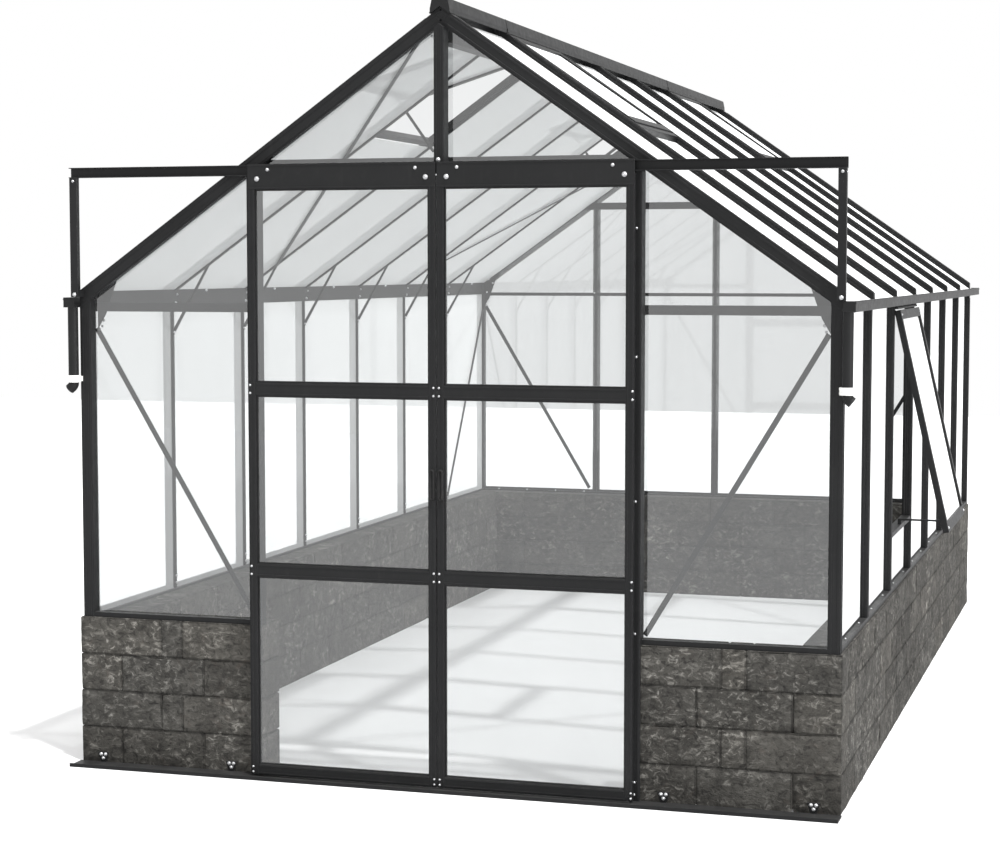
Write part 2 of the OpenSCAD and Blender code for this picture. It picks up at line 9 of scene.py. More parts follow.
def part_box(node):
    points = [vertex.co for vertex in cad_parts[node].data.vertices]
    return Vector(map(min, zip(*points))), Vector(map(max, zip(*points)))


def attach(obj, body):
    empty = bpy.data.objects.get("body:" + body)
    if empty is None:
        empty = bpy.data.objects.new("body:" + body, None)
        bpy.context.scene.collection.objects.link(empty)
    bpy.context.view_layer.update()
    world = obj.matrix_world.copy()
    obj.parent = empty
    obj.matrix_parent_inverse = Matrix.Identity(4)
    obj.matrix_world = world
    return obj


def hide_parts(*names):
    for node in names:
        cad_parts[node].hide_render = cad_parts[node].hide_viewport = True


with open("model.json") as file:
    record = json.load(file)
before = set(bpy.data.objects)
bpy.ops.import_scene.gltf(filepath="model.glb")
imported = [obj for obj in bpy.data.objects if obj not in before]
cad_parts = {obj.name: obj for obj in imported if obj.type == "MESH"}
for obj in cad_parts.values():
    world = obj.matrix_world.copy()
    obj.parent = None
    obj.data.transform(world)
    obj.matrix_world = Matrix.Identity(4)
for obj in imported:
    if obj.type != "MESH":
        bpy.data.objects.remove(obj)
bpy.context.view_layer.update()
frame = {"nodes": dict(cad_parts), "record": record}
NODES = frame["nodes"]

# ---- sizes shared by the pieces, in metres -------------------------------------------------
COURSE = 0.144
BLOCK = 0.360
WALL_T = 0.180
LEFT_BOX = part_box("dwarf_wall_left")
WALL_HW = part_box("dwarf_wall_right")[1].x
WALL_LEN = LEFT_BOX[1].y
WALL_TOP = LEFT_BOX[1].z
COURSES = round(WALL_TOP / COURSE)
SILL_TOP = WALL_TOP + 0.019
FIRST_BAR, BAY, BARS = 0.035, 0.73, 8
BAR_Y = [FIRST_BAR + BAY * i for i in range(BARS)]
BAR_HALF = 0.019
SLOPE = math.radians(35.1)
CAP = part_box("ridge_cap")
CAP_OVER_RIDGE = 0.025
RIDGE_Z = CAP[1].z - CAP_OVER_RIDGE
FRAME_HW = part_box("corner_posts")[1].x
FRAME_Y0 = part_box("corner_posts")[0].y
FRAME_Y1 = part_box("corner_posts")[1].y
SIDE_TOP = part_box("side_mullions")[1].z
BAR_H = FRAME_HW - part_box("side_glass")[1].x
WEB_D = 0.012


# ---- materials -----------------------------------------------------------------------------
class Nodes:
    """Builds one node material; each method adds nodes and returns the socket to link on."""

    def __init__(self, name):
        self.mat = bpy.data.materials.new(name)
        self.mat.use_nodes = True
        self.tree = self.mat.node_tree
        self.tree.nodes.clear()
        self.out = self.add("ShaderNodeOutputMaterial")

    def add(self, kind, **values):
        n = self.tree.nodes.new(kind)
        for key, value in values.items():
            setattr(n, key, value)
        return n

    def link(self, a, b):
        self.tree.links.new(a, b)

    def noise(self, scale, detail=4.0, rough=0.55, distortion=0.0, stretch=(1, 1, 1)):
        coord = self.add("ShaderNodeTexCoord")
        mapping = self.add("ShaderNodeMapping")
        mapping.inputs["Scale"].default_value = stretch
        self.link(coord.outputs["Object"], mapping.inputs["Vector"])
        n = self.add("ShaderNodeTexNoise")
        n.inputs["Scale"].default_value = scale
        n.inputs["Detail"].default_value = detail
        n.inputs["Roughness"].default_value = rough
        n.inputs["Distortion"].default_value = distortion
        self.link(mapping.outputs["Vector"], n.inputs["Vector"])
        return n.outputs["Fac"]

    def ramp(self, fac, stops):
        r = self.add("ShaderNodeValToRGB")
        ramp = r.color_ramp
        while len(ramp.elements) < len(stops):
            ramp.elements.new(0.5)
        for e, (pos, colour) in zip(ramp.elements, stops):
            e.position = pos
            e.color = (*colour, 1)
        self.link(fac, r.inputs["Fac"])
        return r.outputs["Color"]

    def spread(self, fac, low, high, to_low=0.0, to_high=1.0):
        m = self.add("ShaderNodeMapRange")
        m.inputs["From Min"].default_value = low
        m.inputs["From Max"].default_value = high
        m.inputs["To Min"].default_value = to_low
        m.inputs["To Max"].default_value = to_high
        self.link(fac, m.inputs["Value"])
        return m.outputs["Result"]

    def math(self, op, a, b):
        m = self.add("ShaderNodeMath", operation=op)
        for socket, value in zip(m.inputs, (a, b)):
            if isinstance(value, (int, float)):
                socket.default_value = value
            else:
                self.link(value, socket)
        return m.outputs["Value"]

    def mix(self, fac, a, b, blend="MIX"):
        m = self.add("ShaderNodeMix", data_type="RGBA", blend_type=blend)
        for socket, value in ((m.inputs[0], fac), (m.inputs[6], a), (m.inputs[7], b)):
            if isinstance(value, (int, float)):
                socket.default_value = value
            elif isinstance(value, tuple):
                socket.default_value = (*value, 1)
            else:
                self.link(value, socket)
        return m.outputs[2]

    def bump(self, height, distance, strength=1.0, normal=None):
        b = self.add("ShaderNodeBump")
        b.inputs["Distance"].default_value = distance
        b.inputs["Strength"].default_value = strength
        self.link(height, b.inputs["Height"])
        if normal is not None:
            self.link(normal, b.inputs["Normal"])
        return b.outputs["Normal"]

    def edge(self, radius):
        """A rounded normal at the edges, and how near an edge the point is."""
        bevel = self.add("ShaderNodeBevel", samples=4)
        bevel.inputs["Radius"].default_value = radius
        geometry = self.add("ShaderNodeNewGeometry")
        dot = self.add("ShaderNodeVectorMath", operation="DOT_PRODUCT")
        self.link(bevel.outputs["Normal"], dot.inputs[0])
        self.link(geometry.outputs["True Normal"], dot.inputs[1])
        return bevel.outputs["Normal"], self.spread(dot.outputs["Value"], 0.985, 0.72)

    def facing(self, normal, low, high):
        """How far the surface looks up (low < high) or down, from 0 to 1."""
        geometry = self.add("ShaderNodeNewGeometry")
        parts = self.add("ShaderNodeSeparateXYZ")
        self.link(geometry.outputs[normal], parts.inputs["Vector"])
        return self.spread(parts.outputs["Z"], low, high)

    def blend(self, fac, a, b):
        """Mixes two shader nodes."""
        mix = self.add("ShaderNodeMixShader")
        self.link(fac, mix.inputs["Fac"])
        self.link(a.outputs[0], mix.inputs[1])
        self.link(b.outputs[0], mix.inputs[2])
        return mix

    def surface(self, colour, roughness, normal, metallic=0.0, specular=0.5):
        p = self.add("ShaderNodeBsdfPrincipled")
        self.link(colour, p.inputs["Base Color"])
        self.link(roughness, p.inputs["Roughness"])
        self.link(normal, p.inputs["Normal"])
        p.inputs["Metallic"].default_value = metallic
        p.inputs["Specular IOR Level"].default_value = specular
        self.link(p.outputs["BSDF"], self.out.inputs["Surface"])
        return p


def powder_coat():
    """Satin anthracite powder coat: fine orange peel, worn arrises, dust on what faces up."""
    m = Nodes("powder_coat")
    rounded, edge = m.edge(0.0022)
    broad = m.noise(2.3, 5, 0.6)
    fine = m.noise(38, 4, 0.6)
    peel = m.noise(1500, 2, 0.5)
    streak = m.noise(9, 5, 0.65, 0.4, (6, 6, 0.5))
    colour = m.ramp(broad, [(0.3, (0.0125, 0.0127, 0.0131)), (0.7, (0.0165, 0.0167, 0.0172))])
    colour = m.mix(m.spread(fine, 0.55, 0.85, 0, 0.3), colour, (0.030, 0.030, 0.030))
    colour = m.mix(m.spread(streak, 0.58, 0.8, 0, 0.22), colour, (0.038, 0.038, 0.037))
    wear = m.math("MULTIPLY", edge, m.spread(m.noise(24, 5, 0.7), 0.35, 0.75, 0.10, 0.5))
    colour = m.mix(wear, colour, (0.075, 0.075, 0.078))
    dust = m.math("MULTIPLY", m.facing("Normal", 0.55, 0.95),
                  m.spread(m.noise(11, 6, 0.7), 0.35, 0.8, 0.06, 0.26))
    colour = m.mix(dust, colour, (0.125, 0.123, 0.118))
    rough = m.math("ADD", m.spread(fine, 0.3, 0.7, 0.36, 0.48), m.math("MULTIPLY", dust, 0.5))
    m.surface(colour, rough, m.bump(peel, 0.00012, 0.5, rounded), 0.0, 0.14)
    return m.mat


def pane():
    """Clear toughened glass: a tint, a slight ripple, a dusty film, and a painted reflection of diffuse
    white at grazing angles.

    The film and the painted white reflection lie only where a ray enters the pane, so that a pane has
    them once.
    """
    m = Nodes("pane")
    film = m.noise(6, 6, 0.65, 0.3, (1, 1, 0.35))
    normal = m.bump(m.noise(1.7, 2, 0.4), 0.0012, 0.08)
    tint = m.ramp(film, [(0.3, (0.926, 0.931, 0.932)), (0.75, (0.908, 0.914, 0.915))])
    # painted shade: where a ray enters a pane from below, the pane lets through less light and its
    # gloss is blurred, so the roof looks darker from inside
    underside_shade = m.facing("True Normal", -0.3, -0.6)
    clear = m.add("ShaderNodeBsdfTransparent")
    m.link(m.mix(m.math("MULTIPLY", underside_shade, 0.22), tint, (0.10, 0.11, 0.11)), clear.inputs["Color"])
    gloss = m.add("ShaderNodeBsdfAnisotropic")
    gloss.inputs["Color"].default_value = (0.97, 0.98, 0.98, 1)
    smear = m.spread(m.noise(120, 3, 0.6), 0.3, 0.8, 0.015, 0.06)
    m.link(m.math("ADD", smear, m.math("MULTIPLY", underside_shade, 0.35)), gloss.inputs["Roughness"])
    m.link(normal, gloss.inputs["Normal"])
    tilt = m.add("ShaderNodeLayerWeight")
    tilt.inputs["Blend"].default_value = 0.5
    grazing = m.math("POWER", tilt.outputs["Facing"], 1.9)
    side = m.add("ShaderNodeNewGeometry")
    entering = m.math("SUBTRACT", 1.0, side.outputs["Backfacing"])
    # painted reflection: a white diffuse surface, weighted towards grazing angles, stands in for the
    # glass's mirror reflection of bright surroundings
    painted_grazing_reflection = m.add("ShaderNodeBsdfDiffuse")
    white = m.ramp(film, [(0.3, (0.93, 0.94, 0.94)), (0.75, (0.89, 0.90, 0.90))])
    m.link(white, painted_grazing_reflection.inputs["Color"])
    dusty = m.math("MULTIPLY", entering, m.spread(film, 0.4, 0.9, 0.160, 0.185))
    grazed = m.math("MULTIPLY", entering, m.math("MULTIPLY", grazing, 0.93))
    surface = m.blend(grazed, m.blend(dusty, clear, gloss), painted_grazing_reflection)
    m.link(surface.outputs[0], m.out.inputs["Surface"])
    return m.mat


def block_stone():
    """Dark grey-brown split-face block: pale veins, pits, a tone per block, and painted shade darkening
    the arrises along the joints.
    """
    m = Nodes("block_stone")
    info = m.add("ShaderNodeNewGeometry")
    own = info.outputs["Random Per Island"]
    cloud = m.noise(7, 6, 0.62, 0.5)
    grit = m.noise(95, 6, 0.7)
    chips = m.noise(30, 5, 0.66, 0.9, (1, 1, 1.35))
    veins = m.noise(17, 7, 0.72, 1.1, (1, 1, 1.7))
    busy = m.spread(m.noise(4.2, 3, 0.5, 0.6), 0.40, 0.60, 0.25, 1.0)
    colour = m.ramp(cloud, [(0.28, (0.025, 0.0235, 0.021)), (0.52, (0.045, 0.043, 0.039)),
                            (0.78, (0.074, 0.071, 0.065))])
    colour = m.mix(m.math("MULTIPLY", busy, m.spread(veins, 0.53, 0.66, 0, 0.80)), colour,
                   (0.215, 0.208, 0.193))
    colour = m.mix(m.math("MULTIPLY", busy, m.spread(chips, 0.56, 0.68, 0, 0.80)), colour,
                   (0.310, 0.301, 0.282))
    colour = m.mix(m.spread(veins, 0.46, 0.36, 0, 0.70), colour, (0.012, 0.011, 0.010))
    colour = m.mix(m.spread(chips, 0.47, 0.36, 0, 0.85), colour, (0.008, 0.0075, 0.007))
    colour = m.mix(m.spread(m.noise(14, 4, 0.6, 1.0), 0.60, 0.75, 0, 0.35), colour,
                   (0.070, 0.050, 0.040))
    colour = m.mix(m.spread(grit, 0.35, 0.75, 0, 0.5), colour, (0.085, 0.082, 0.077))
    tone = m.ramp(own, [(0.0, (0.78, 0.77, 0.75)), (0.5, (1.0, 1.0, 0.99)),
                        (1.0, (1.22, 1.2, 1.16))])
    colour = m.mix(1.0, colour, tone, "MULTIPLY")
    # painted shade: the stone turns nearly black along each block's arrises, as if the joints between
    # the blocks lay in shade
    joint = m.add("ShaderNodeAttribute", attribute_name="joint_shade")
    colour = m.mix(m.math("MULTIPLY", joint.outputs["Fac"], 0.93), colour, (0.004, 0.0038, 0.0035))
    height = m.math("ADD", m.math("MULTIPLY", chips, 1.0), m.math("MULTIPLY", veins, 0.8))
    height = m.math("ADD", height, m.math("MULTIPLY", grit, 0.25))
    normal = m.bump(height, 0.011, 0.9)
    m.surface(colour, m.spread(grit, 0.3, 0.7, 0.80, 0.97), normal, 0.0, 0.22)
    return m.mat


def moulded(name, low, high, rough):
    """Moulded plastic or rubber with a fine spark-eroded grain."""
    m = Nodes(name)
    rounded = m.edge(0.0012)[0]
    colour = m.ramp(m.noise(14, 4, 0.6), [(0.3, low), (0.7, high)])
    colour = m.mix(m.spread(m.noise(5, 6, 0.7, 0.5), 0.56, 0.8, 0, 0.35), colour,
                   tuple(0.62 * c + 0.01 for c in low))
    r = m.spread(m.noise(60, 3, 0.6), 0.3, 0.7, rough - 0.06, rough + 0.08)
    m.surface(colour, r, m.bump(m.noise(900, 3, 0.6), 0.0002, 0.4, rounded), 0.0, 0.4)
    return m.mat


def zinc():
    """Zinc-plated steel for bolts, screws and rollers: spangle and dull spots."""
    m = Nodes("zinc_plate")
    rounded = m.edge(0.0008)[0]
    spangle = m.noise(160, 4, 0.65)
    dull = m.noise(45, 5, 0.7)
    colour = m.ramp(spangle, [(0.3, (0.52, 0.53, 0.54)), (0.7, (0.80, 0.80, 0.81))])
    colour = m.mix(m.spread(dull, 0.55, 0.8, 0, 0.5), colour, (0.36, 0.35, 0.34))
    rough = m.spread(dull, 0.3, 0.75, 0.24, 0.46)
    m.surface(colour, rough, m.bump(spangle, 0.0002, 0.35, rounded), 0.9, 0.5)
    return m.mat


MAT = {
    "frame": powder_coat(),
    "glass": pane(),
    "blocks": block_stone(),
    "clip": moulded("white_clip", (0.74, 0.74, 0.72), (0.86, 0.86, 0.84), 0.42),
    "rollers": zinc(),
    "rubber": moulded("gasket_rubber", (0.010, 0.010, 0.010), (0.020, 0.020, 0.021), 0.62),
    # near-black: the pulls' own black moulding and the ridge joint strips, and painted shade on the
    # disks inside the spout mouths
    "hole": moulded("near_black_and_painted_shade", (0.004, 0.004, 0.004), (0.008, 0.008, 0.008), 0.8),
}
SLOT_OF = {s["node"]: s["material_slot"] for s in frame["record"]["subparts"]}
for name, obj in NODES.items():
    obj.data.materials.clear()
    obj.data.materials.append(MAT[SLOT_OF[name]])


class Builder:
    """Collects vertices and faces for one piece, with a painted joint-shade value where a vertex has
    one.
    """

    def __init__(self):
        self.verts = []
        self.faces = []
        self.smooth = []
        self.joint_shade = {}

    def add(self, verts, faces, smooth=False, joint_shade=()):
        base = len(self.verts)
        self.joint_shade.update((base + i, value) for i, value in enumerate(joint_shade) if value)
        self.verts += [tuple(v) for v in verts]
        self.faces += [tuple(base + i for i in f) for f in faces]
        self.smooth += [smooth] * len(faces)

    def piece(self, name, body, material, slot=None, replaces=()):
        mesh = bpy.data.meshes.new(name)
        mesh.from_pydata(self.verts, [], self.faces)
        mesh.polygons.foreach_set("use_smooth", self.smooth)
        mesh.materials.append(MAT[material])
        # the painted joint shade goes onto the mesh as a point attribute
        if self.joint_shade:
            layer = mesh.attributes.new("joint_shade", "FLOAT", "POINT")
            values = [self.joint_shade.get(i, 0.0) for i in range(len(self.verts))]
            layer.data.foreach_set("value", values)
        bm = bmesh.new()
        bm.from_mesh(mesh)
        bmesh.ops.recalc_face_normals(bm, faces=bm.faces)
        bm.to_mesh(mesh)
        bm.free()
        mesh.update()
        obj = bpy.data.objects.new(name, mesh)
        bpy.context.scene.collection.objects.link(obj)
        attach(obj, body)
        if replaces:
            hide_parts(*replaces)
        return obj


def prism(build, origin, along, side, up, length, profile, smooth=False):
    """Sweeps a closed profile of (side, up) points along a straight line."""
    origin, along, side, up = Vector(origin), Vector(along), Vector(side), Vector(up)
    n = len(profile)
    ring = [origin + side * s + up * u for s, u in profile]
    verts = ring + [v + along * length for v in ring]
    faces = [(i, (i + 1) % n, n + (i + 1) % n, n + i) for i in range(n)]
    faces += [tuple(reversed(range(n))), tuple(range(n, 2 * n))]
    build.add(verts, faces, smooth)


def strip_profile(width, height, chamfer):
    """A low raised strip with chamfered edges."""
    h = width / 2
    return [(-h, 0), (h, 0), (h, height - chamfer), (h - chamfer, height),
            (-h + chamfer, height), (-h, height - chamfer)]


def tube_faces(rings, sides):
    """The quads between rings of vertices that follow one another."""
    return [(i * sides + k, i * sides + (k + 1) % sides, (i + 1) * sides + (k + 1) % sides,
             (i + 1) * sides + k) for i in range(rings - 1) for k in range(sides)]


def lathe(build, origin, axis, profile, sides, phase=0.0):
    """Turns a profile of (radius, height) points about an axis."""
    axis = Vector(axis).normalized()
    turn = axis.to_track_quat("Z", "Y").to_matrix()
    verts = []
    for r, h in profile:
        for k in range(sides):
            a = phase + 2 * math.pi * k / sides
            verts.append(Vector(origin) + turn @ Vector((r * math.cos(a), r * math.sin(a), h)))
    faces = tube_faces(len(profile), sides)
    last = (len(profile) - 1) * sides
    faces.append(tuple(last + k for k in range(sides)))
    faces.append(tuple(reversed(range(sides))))
    build.add(verts, faces, True)


def bolt(build, at, axis, r):
    """A domed bolt head on its washer."""
    lathe(build, at, axis, [(r * 1.25, 0), (r * 1.25, r * 0.18), (r * 1.18, r * 0.24)], 14)
    lathe(build, Vector(at) + Vector(axis) * r * 0.24, axis,
          [(r * 0.95, 0), (r * 0.95, r * 0.32), (r * 0.78, r * 0.58), (r * 0.45, r * 0.74),
           (r * 0.30, r * 0.76), (r * 0.26, r * 0.52)], 12)


def nut(build, at, axis, r, phase=0.0):
    """A hexagon nut with the end of its bolt standing proud."""
    lathe(build, at, axis, [(r * 1.2, 0), (r * 1.2, r * 0.15)], 14)
    lathe(build, Vector(at) + Vector(axis) * r * 0.15, axis,
          [(r, 0), (r, r * 0.62), (r * 0.86, r * 0.74)], 6, phase)
    lathe(build, Vector(at) + Vector(axis) * r * 0.85, axis, [(r * 0.5, 0), (r * 0.5, r * 0.4),
                                                              (r * 0.4, r * 0.5)], 10)


# ---- dwarf wall: dry-laid split-face blocks ------------------------------------------------
HEADER_EDGE = 1.147
HEADER_JOINT = 1.057
STRETCHER_JOINT = 0.968
ARRIS = 0.0062
JOINT = 0.0012
GRID_STEP = (0.026, 0.026, 0.021)
GROUND_COURSE = 0.002


def stations(length, arris, step):
    """Places for the grid lines across a face, closer at its arrises."""
    inner = max(2, round((length - 2 * arris) / step))
    return ([0.0, arris * 0.35, arris] +
            [arris + (length - 2 * arris) * k / inner for k in range(1, inner)] +
            [length - arris, length - arris * 0.35, length])


def block(build, low, high, seed, faces_rough):
    """One block. faces_rough names the sides that are split: any of -x +x -y +y."""
    at_top = high[2] > WALL_TOP - 0.001
    low = Vector([low[k] + JOINT for k in range(3)])
    high = Vector([high[k] - (0 if k == 2 and at_top else JOINT) for k in range(3)])
    if low.z < GROUND_COURSE:
        low.z -= JOINT
    size = high - low
    arris = ARRIS
    lines = [stations(size[k], arris, GRID_STEP[k]) for k in range(3)]
    index = {}
    verts, faces, joint_shade = [], [], []

    def vertex(i, j, k):
        key = (i, j, k)
        if key in index:
            return index[key]
        p = Vector((lines[0][i], lines[1][j], lines[2][k]))
        q = Vector([min(max(p[a], arris), size[a] - arris) for a in range(3)])
        d = p - q
        if d.length > 1e-9:
            n = d.normalized()
            p = q + n * arris
        w = low + p
        s = Vector((w.x * 9 + seed * 3.1, w.y * 9 - seed * 1.7, w.z * 12 + seed * 0.9))
        relief = 0.5 + 0.5 * noise.fractal(s, 0.9, 2.1, 4)
        knap = abs(noise.noise(s * 2.3 + Vector((7.7, seed, 1.3))))
        deep = 0.0010 + 0.0052 * relief + 0.0026 * knap
        chip = max(0.0, noise.noise(s * 1.1 + Vector((seed, 3.3, 5.1))) - 0.25) * 0.016
        n = d.normalized() if d.length > 1e-9 else Vector((0, 0, 0))
        corner = sum(1 for a in range(3) if abs(d[a]) > 1e-6) >= 2
        for a, minus, plus in ((0, "-x", "+x"), (1, "-y", "+y")):
            if n[a] < -0.15 and minus in faces_rough:
                w[a] += (deep + (chip if corner else 0)) * min(1, -n[a] * 1.2)
            if n[a] > 0.15 and plus in faces_rough:
                w[a] -= (deep + (chip if corner else 0)) * min(1, n[a] * 1.2)
        if corner and abs(n.z) > 0.15:
            w.z -= math.copysign(chip * 0.5 + 0.0012 * knap, n.z)
        index[key] = len(verts)
        verts.append(w)
        # painted shade: a value that rises towards each block's arrises, which the stone material
        # darkens nearly to black
        from_edge = sorted(min(p[a], size[a] - p[a]) for a in range(3))[1]
        joint_shade.append(max(0.0, 1.0 - from_edge / (arris * 0.75)))
        return index[key]

    def quad(*corners):
        faces.append(tuple(vertex(*corner) for corner in corners))

    nx, ny, nz = (len(line) - 1 for line in lines)
    for i in range(nx):
        for k in range(nz):
            quad((i, 0, k), (i + 1, 0, k), (i + 1, 0, k + 1), (i, 0, k + 1))
            quad((i, ny, k + 1), (i + 1, ny, k + 1), (i + 1, ny, k), (i, ny, k))
    for j in range(ny):
        for k in range(nz):
            quad((0, j, k + 1), (0, j + 1, k + 1), (0, j + 1, k), (0, j, k))
            quad((nx, j, k), (nx, j + 1, k), (nx, j + 1, k + 1), (nx, j, k + 1))
    for i in range(nx):
        for j in range(ny):
            quad((i, j + 1, 0), (i + 1, j + 1, 0), (i + 1, j, 0), (i, j, 0))
            quad((i, j, nz), (i + 1, j, nz), (i + 1, j + 1, nz), (i, j + 1, nz))
    build.add(verts, faces, True, joint_shade)


def split(start, end):
    """Equal blocks, as near the standard length as fills the run."""
    n = max(1, round((end - start) / BLOCK))
    return [(start + (end - start) * k / n, start + (end - start) * (k + 1) / n) for k in range(n)]


HALF_DOOR = min(abs(v.co.x) for v in NODES["dwarf_walls_front"].data.vertices)
fronts, rights, lefts, rears = Builder(), Builder(), Builder(), Builder()
inner = WALL_HW - WALL_T
for c in range(COURSES):
    z0, z1 = c * COURSE, (c + 1) * COURSE
    header = c % 2 == 1
    for side, walls in ((1, rights), (-1, lefts)):
        runs = split(WALL_T, WALL_LEN - WALL_T) if header else split(0, WALL_LEN)
        for i, (a, b) in enumerate(runs):
            rough = {"-x", "+x"}
            if not header and i == 0:
                rough.add("-y")
            if not header and i == len(runs) - 1:
                rough.add("+y")
            xs = sorted((side * inner, side * WALL_HW))
            block(walls, (xs[0], a, z0), (xs[1], b, z1), c * 31 + i + 7 * side, rough)
        cuts = [inner, STRETCHER_JOINT, HALF_DOOR]
        if header:
            cuts = [WALL_HW, HEADER_EDGE, HEADER_JOINT, HALF_DOOR]
        for i in range(len(cuts) - 1):
            xs = sorted((side * cuts[i], side * cuts[i + 1]))
            rough = {"-y", "+y"}
            if header and i == 0:
                rough.add("+x" if side > 0 else "-x")
            seed = 200 + c * 17 + i + 5 * side
            block(fronts, (xs[0], 0, z0), (xs[1], WALL_T, z1), seed, rough)
    edge = HEADER_EDGE if header else inner
    runs = split(-edge, edge)
    if header:
        runs = [(-WALL_HW, -edge)] + runs + [(edge, WALL_HW)]
    for i, (a, b) in enumerate(runs):
        rough = {"-y", "+y"}
        if header and i == 0:
            rough.add("-x")
        if header and i == len(runs) - 1:
            rough.add("+x")
        seed = 400 + c * 23 + i
        block(rears, (a, WALL_LEN - WALL_T, z0), (b, WALL_LEN, z1), seed, rough)
fronts.piece("blocks_front", "house", "blocks", replaces=["dwarf_walls_front"])
rights.piece("blocks_right", "house", "blocks", replaces=["dwarf_wall_right"])
lefts.piece("blocks_left", "house", "blocks", replaces=["dwarf_wall_left"])
rears.piece("blocks_rear", "house", "blocks", replaces=["dwarf_wall_rear"])

# ---- raised ribs of the extruded bars ------------------------------------------------------
UP, ACROSS, ALONG, FRONT = (0, 0, 1), (1, 0, 0), (0, 1, 0), (0, -1, 0)
RIB_H, RIB_C = 0.0018, 0.0006
BAR_RIBS = (-0.0125, 0.0125)
GABLE_ROOF_RIBS = (-0.0115, 0.0115)
POST_RIBS = (-0.014, 0.014)
POST_HALF = 0.0225
GABLE_BAR_HALF = 0.0335
CAP_LAP = 0.060 / math.cos(SLOPE)
SLOPE_LEN = FRAME_HW / math.cos(SLOPE)
KING_FOOT = 2.330
POST_SIDE_LEN, POST_FRONT_LEN = 1.19, 1.205
JAMB_FOOT, JAMB_LEN = 0.006, 2.27
down = Vector((math.cos(SLOPE), 0, -math.sin(SLOPE)))
out = Vector((math.sin(SLOPE), 0, math.cos(SLOPE)))


def rib(width):
    return strip_profile(width, RIB_H, RIB_C)


def flip(v, side):
    return Vector((v[0] * side, v[1], v[2]))


def on_roof(x, y, depth, side=1):
    """A point under or over the roof: x from the middle, depth square to the slope."""
    at = Vector((x, y, RIDGE_Z - x * math.tan(SLOPE))) - out * depth
    return flip(at, side)


def roof_strip(build, at, side, length, profile, face=None):
    """A strip down the slope, on the roof's upper face or on a bar's face to the front or rear."""
    across, raised = ((0, 1, 0), flip(out, side)) if face is None else (flip(out, side), (0, face, 0))
    prism(build, at, flip(down, side), across, raised, length, profile)


def post_strip(build, at, face, length, profile):
    """A strip up an upright; face is the way it looks, along X or along Y."""
    prism(build, at, UP, (abs(face[1]), abs(face[0]), 0), face, length, profile)


def level_strip(build, at, face, length, profile):
    """A strip along X on a front or rear face."""
    prism(build, at, ACROSS, UP, face, length, profile)


ribs = Builder()
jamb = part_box("door_jambs")
for side in (1, -1):
    for y in BAR_Y[1:-1]:
        for dy in BAR_RIBS:
            at = Vector((0, y + dy, RIDGE_Z)) + down * CAP_LAP
            roof_strip(ribs, flip(at, side), side, SLOPE_LEN - CAP_LAP + 0.008, rib(0.009))
    for y in (GABLE_BAR_HALF, WALL_LEN - GABLE_BAR_HALF):
        for dy in GABLE_ROOF_RIBS:
            at = Vector((0, y + dy, RIDGE_Z)) + down * CAP_LAP
            roof_strip(ribs, flip(at, side), side, SLOPE_LEN - CAP_LAP - 0.004, rib(0.010))
    for y in BAR_Y[1:-1]:
        for depth in (0.0055, 0.0185):
            for face in (-1, 1):
                at = on_roof(CAP_LAP * math.cos(SLOPE), y + face * BAR_HALF, depth, side)
                roof_strip(ribs, at, side, SLOPE_LEN - CAP_LAP + 0.006, rib(0.006), face)
    for y, face in ((FRAME_Y0, -1), (FRAME_Y1, 1)):
        for depth in (0.011, 0.041):
            roof_strip(ribs, on_roof(0.004, y, depth, side), side, SLOPE_LEN - 0.06, rib(0.008), face)
    for y in BAR_Y[1:-1]:
        for share in (0.25, 0.72):
            for face in (-1, 1):
                at = (side * (FRAME_HW - share * BAR_H), y + face * BAR_HALF, SILL_TOP)
                post_strip(ribs, at, (0, face, 0), SIDE_TOP - SILL_TOP, rib(0.007))
        for dy in BAR_RIBS:
            post_strip(ribs, (side * FRAME_HW, y + dy, SILL_TOP), (side, 0, 0), SIDE_TOP - SILL_TOP,
                       rib(0.009))
    for y in (FRAME_Y0 + 0.022, FRAME_Y1 - 0.022):
        for dy in POST_RIBS:
            post_strip(ribs, (side * FRAME_HW, y + dy, WALL_TOP), (side, 0, 0), POST_SIDE_LEN,
                       rib(0.010))
    for y, facing in ((FRAME_Y0, -1), (FRAME_Y1, 1)):
        for dx in POST_RIBS:
            post_strip(ribs, (side * (FRAME_HW - POST_HALF) + dx, y, WALL_TOP), (0, facing, 0),
                       POST_FRONT_LEN, rib(0.010))
    for dx in BAR_RIBS:
        at = (side * (jamb[1].x - BAR_HALF) + dx, jamb[0].y, JAMB_FOOT)
        post_strip(ribs, at, FRONT, JAMB_LEN, rib(0.009))
for x in (-BAY, 0.0, BAY):
    top_z = RIDGE_Z - abs(x) * math.tan(SLOPE) - 0.10
    for dx in BAR_RIBS:
        post_strip(ribs, (x + dx, FRAME_Y1, SILL_TOP), (0, 1, 0), top_z - SILL_TOP, rib(0.009))
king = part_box("gable_mullions")
for dx in BAR_RIBS:
    post_strip(ribs, (dx, king[0].y, KING_FOOT), FRONT, RIDGE_Z - 0.078 - KING_FOOT, rib(0.009))
ribs.piece("bar_ribs", "house", "frame")

